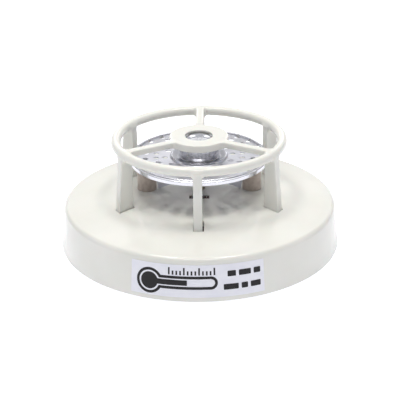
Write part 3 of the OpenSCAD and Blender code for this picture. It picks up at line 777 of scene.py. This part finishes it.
perforations = {
    "Hole Radius": collector["holeR"] * mm, "Punch Height": collector["punchH"] * mm,
    "Punch Sides": collector["punchSides"], "Height": collector["discZ"] * mm,
    "Phase": math.radians(collector["phase"]), "Material": finishes["collector_sheet"]}
for i, (radius, holes) in enumerate(collector["rings"]):
    perforations[f"Ring {i + 1} Radius"] = radius * mm
    perforations[f"Ring {i + 1} Holes"] = holes
heatCollector = addObject("heatCollector", latheMesh("heatCollector", collectorOutline(), collector["steps"]),
                          finishes["collector_sheet"])
applyTree(heatCollector, makePerforator(), perforations)
shadeByAngle(heatCollector.data, collector["sharpFrom"])
addPiece(heatCollector, "collector", "collector_sheet", "heat_collector")
print("heat collector:", len(heatCollector.data.polygons), "faces")

cup = {
    "r": 8.05, "topZ": 44.35, "webZ": 41, "webT": 0.5, "wallR": 6.9, "recessR": 3.3, "stemR": 1.56,
    "taper": 0.25, "flange": 0.55, "sharpFrom": 30,
    "buttonSharpFrom": 12,
}


def cupOutline():
    c = cup
    outer, wall, top, web, low = c["r"], c["wallR"], c["topZ"], c["webZ"], collector["floorZ"]
    bore = collector["boreR"] - 0.02
    return [
        # clinched foot under the sheet, neck through the bore, flange on the sheet
        (wall, low - 0.95, 0.1), (outer + 0.15, low - 0.98, 0.25), (outer + 0.05, low - 0.37, 0.1),
        (bore, low - 0.37), (bore, low + 0.02), (outer + c["flange"], low + 0.02),
        (outer + c["flange"], low + 0.5, 0.25), (outer + 0.15, low + 0.7, 0.15), (outer + 0.1, low + 1.0, 0.2),
        # tapered wall, rolled top, recess for the alloy, stem hole and the inside
        (outer - c["taper"], top, 1.2), (c["recessR"], top, 0.6), (c["recessR"], web + c["webT"]),
        (c["stemR"], web + c["webT"]), (c["stemR"], web), (wall, web, 0.3)]


cupMesh = latheMesh("solderCup", cupOutline())
shadeByAngle(cupMesh, cup["sharpFrom"])
addPiece(addObject("solderCup", cupMesh, finishes["bright_plate"]), "collector", "bright_plate", "solder_cup")

# the domed button stands in the hub's hole
cupButton = mergedCopy("cupButton", "cup_button", finishes["bright_plate"], cup["buttonSharpFrom"])
addPiece(cupButton, "collector", "bright_plate", "cup_button")
print("cup and button made")

label = {
    # the drafted wall that the print lies on, and the film's own thickness
    "outR": 58.18, "wrapR": 58.2, "low": 0.5, "high": 15.7, "draft": 1.5, "film": 0.03, "gap": 0.012,
    "cutStep": 1.5, "cuts": 18,  # the film is cut across so that it can bend, this often each way
    # plain thermometer figure lying on its side
    "middle": 8.0, "bulbAt": -19.6, "bulbR": 5.3, "bulbFill": 3.5, "tubeEnd": 5.0, "tubeHalf": 2.7, "line": 1.1,
    "columnFrom": -16.4, "columnTo": -4.4, "columnHalf": 1.1, "columnRound": 0.2,
    "ticks": 13, "tickStep": 1.5, "tickStart": -11.6, "tickWidth": 0.65, "tickGap": 0.5,
    "tickShort": 1.7, "tickLong": 3.0, "longEvery": 4,
    # plain dashes on the right as (start, end, height)
    "dashes": [(11.6, 15.0, 11.4), (16.2, 21.2, 11.4), (22.4, 25.2, 11.4),
               (10.0, 16.0, 6.0), (17.2, 19.8, 6.0), (21.0, 25.2, 6.0)],
    "dashThick": 2.3, "dashRound": 0.3,
}


def roundedBar(start, end, y, half, radius):
    return roundCorners([(x, y + side * half, radius)
                         for x, side in ((start, -1), (end, -1), (end, 1), (start, 1))])


def arcPoints(x, radius, start, turn, steps):
    centre = (x, label["middle"])
    return [circlePoint(centre, radius, start + turn * k / steps) for k in range(steps + 1)]


def gaugeOutline(grow):
    # bulb and tube of the thermometer, drawn larger or smaller by grow
    bulbR, half = label["bulbR"] + grow, label["tubeHalf"] + grow
    joint = math.asin(half / bulbR)
    return (arcPoints(label["bulbAt"], bulbR, joint, 2 * math.pi - 2 * joint, 40)
            + arcPoints(label["tubeEnd"], half, -math.pi / 2, math.pi, 16))


def flatPrint(name, outlines):
    # closed outlines in mm, filled where they are not inside one another, as a thin flat film
    curve = bpy.data.curves.new(name, "CURVE")
    curve.dimensions, curve.fill_mode = "2D", "BOTH"
    curve.extrude = label["film"] / 2
    for outline in outlines:
        spline = curve.splines.new("POLY")
        spline.points.add(len(outline) - 1)
        for point, (x, y) in zip(spline.points, outline):
            point.co = (x, y, 0, 1)
        spline.use_cyclic_u = True
    holder = bpy.data.objects.new(name, curve)
    bpy.context.scene.collection.objects.link(holder)
    mesh = bpy.data.meshes.new_from_object(holder.evaluated_get(bpy.context.evaluated_depsgraph_get()))
    bpy.data.objects.remove(holder)
    return mesh


def makeTickRow():
    # a row of ticks, every fourth one long
    tree, given, result = newTree("tickRow", [
        ("Count", "Int"), ("Step", "Float"), ("Start", "Float"), ("Base Line", "Float"), ("Width", "Float"),
        ("Short", "Float"), ("Long", "Float"), ("Every", "Int"), ("Film", "Float"), ("Material", "Material")])
    start = addNode(tree, "ShaderNodeCombineXYZ", {
        "X": given.outputs["Start"], "Y": given.outputs["Base Line"]})
    step = addNode(tree, "ShaderNodeCombineXYZ", {"X": given.outputs["Step"]})
    row = addNode(tree, "GeometryNodeMeshLine", {
        "Count": given.outputs["Count"], "Start Location": start.outputs["Vector"],
        "Offset": step.outputs["Vector"]})
    tick = addNode(tree, "GeometryNodeMeshCube")
    index = addNode(tree, "GeometryNodeInputIndex")
    turnOf = addNode(tree, "ShaderNodeMath", {0: index.outputs["Index"], 1: given.outputs["Every"]},
                     operation="MODULO")
    isLong = addNode(tree, "ShaderNodeMath", {0: turnOf.outputs["Value"], 1: 0.5}, operation="LESS_THAN")
    height = addNode(tree, "ShaderNodeMapRange", {
        "Value": isLong.outputs["Value"], "To Min": given.outputs["Short"], "To Max": given.outputs["Long"]})
    size = addNode(tree, "ShaderNodeCombineXYZ", {
        "X": given.outputs["Width"], "Y": height.outputs["Result"], "Z": given.outputs["Film"]})
    half = addNode(tree, "ShaderNodeVectorMath", {0: size.outputs["Vector"], 1: (0, 0.5, 0)},
                   operation="MULTIPLY")
    raised = addNode(tree, "GeometryNodeSetPosition", {
        "Geometry": row.outputs["Mesh"], "Offset": half.outputs["Vector"]})
    marks = addNode(tree, "GeometryNodeInstanceOnPoints", {
        "Points": raised.outputs["Geometry"], "Instance": tick.outputs["Mesh"],
        "Scale": size.outputs["Vector"]})
    finishTree(tree, given, result, marks.outputs["Instances"])
    return tree


def wrapPrint(mesh):
    # cut the flat film across, then bend it round the base's drafted wall
    work = bmesh.new()
    work.from_mesh(mesh)
    for k in range(-label["cuts"], label["cuts"] + 1):
        bmesh.ops.bisect_plane(work, geom=work.verts[:] + work.edges[:] + work.faces[:],
                               plane_co=(k * label["cutStep"], 0, 0), plane_no=(1, 0, 0), dist=1e-4)
    for v in work.verts:
        along, height, depth = v.co
        share = (height - label["low"]) / (label["high"] - label["low"])
        radius = label["outR"] - label["draft"] * share + label["gap"] + label["film"] / 2 + depth
        x, y = circlePoint((0, 0), radius, along / label["wrapR"] - math.pi / 2)
        v.co = Vector((x, y, height)) * mm
    work.to_mesh(mesh)
    work.free()
    closeMesh(mesh)


tickRow = addObject("tickRow", bpy.data.meshes.new("tickRow"))
applyTree(tickRow, makeTickRow(), {
    "Count": label["ticks"], "Step": label["tickStep"], "Start": label["tickStart"],
    "Base Line": label["middle"] + label["tubeHalf"] + label["tickGap"], "Width": label["tickWidth"],
    "Short": label["tickShort"], "Long": label["tickLong"], "Every": label["longEvery"],
    "Film": label["film"], "Material": labelInk})
printMesh = joinMeshes("labelPrint", [
    tickRow.data,
    flatPrint("gauge", [gaugeOutline(0), gaugeOutline(-label["line"])]),
    flatPrint("bulb", [arcPoints(label["bulbAt"], label["bulbFill"], 0, 2 * math.pi, 40)[:-1]]),
    flatPrint("column", [roundedBar(label["columnFrom"], label["columnTo"], label["middle"],
                                    label["columnHalf"], label["columnRound"])]),
    flatPrint("dashes", [roundedBar(start, end, y, label["dashThick"] / 2, label["dashRound"])
                         for start, end, y in label["dashes"]])])
bpy.data.objects.remove(tickRow)
wrapPrint(printMesh)
addPiece(addObject("labelPrint", printMesh, labelInk), "detector", "label_stock")
print("label printed:", len(printMesh.polygons), "faces")


posts = {
    "x": 21.85, "r": 4.0, "taper": 0.1, "lowZ": 23, "topZ": 33.5, "boreR": 1.27, "boreEnd": 2, "steps": 72,
}


def postOutline():
    r, low, top, bore = posts["r"], posts["lowZ"], posts["topZ"], posts["boreR"]
    return [(0, low), (r, low, 0.15), (r - posts["taper"], top, 0.5), (bore, top, 0.1),
            (bore, low + posts["boreEnd"]), (0, low + posts["boreEnd"])]


postMesh = joinMeshes("bridgePosts", [
    latheMesh("post", postOutline(), posts["steps"], (side * posts["x"], 0)) for side in (-1, 1)])
shadeByAngle(postMesh)
bridgePosts = addObject("bridgePosts", postMesh, finishes["grey_plastic"])
addPiece(bridgePosts, "detector", "grey_plastic", "bridge_posts")

spring = {"r": 2.5, "wireR": 0.3, "turns": 5.0, "lowZ": 26.7, "topZ": 32.3, "turnSteps": 32, "wireSides": 12,
          "sharpFrom": 50}


def makeCoiler():
    # winds round wire into a compression spring, its ends capped
    tree, given, result = newTree("coilSpring", [
        ("Coil Radius", "Float"), ("Wire Radius", "Float"), ("Turns", "Float"), ("Height", "Float"),
        ("Base Height", "Float"), ("Turn Steps", "Int"), ("Wire Sides", "Int"), ("Material", "Material")])
    spiral = addNode(tree, "GeometryNodeCurveSpiral", {
        "Resolution": given.outputs["Turn Steps"], "Rotations": given.outputs["Turns"],
        "Start Radius": given.outputs["Coil Radius"], "End Radius": given.outputs["Coil Radius"],
        "Height": given.outputs["Height"]})
    wire = addNode(tree, "GeometryNodeCurvePrimitiveCircle", {
        "Resolution": given.outputs["Wire Sides"], "Radius": given.outputs["Wire Radius"]})
    tube = addNode(tree, "GeometryNodeCurveToMesh", {
        "Curve": spiral.outputs["Curve"], "Profile Curve": wire.outputs["Curve"], "Fill Caps": True})
    lift = addNode(tree, "ShaderNodeCombineXYZ", {"Z": given.outputs["Base Height"]})
    placed = addNode(tree, "GeometryNodeTransform", {
        "Geometry": tube.outputs["Mesh"], "Translation": lift.outputs["Vector"]})
    finishTree(tree, given, result, placed.outputs["Geometry"])
    return tree


plungerSpring = addObject("plungerSpring", bpy.data.meshes.new("plungerSpring"))
applyTree(plungerSpring, makeCoiler(), {
    "Coil Radius": spring["r"] * mm, "Wire Radius": spring["wireR"] * mm, "Turns": spring["turns"],
    "Height": (spring["topZ"] - spring["lowZ"] - 2 * spring["wireR"]) * mm,
    "Base Height": (spring["lowZ"] + spring["wireR"]) * mm, "Turn Steps": spring["turnSteps"],
    "Wire Sides": spring["wireSides"], "Material": finishes["spring_steel"]})
closeMesh(plungerSpring.data)
shadeByAngle(plungerSpring.data, spring["sharpFrom"])
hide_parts("plunger_spring")
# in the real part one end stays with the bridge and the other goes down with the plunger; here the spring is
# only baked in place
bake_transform(plungerSpring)
print("posts and spring made")
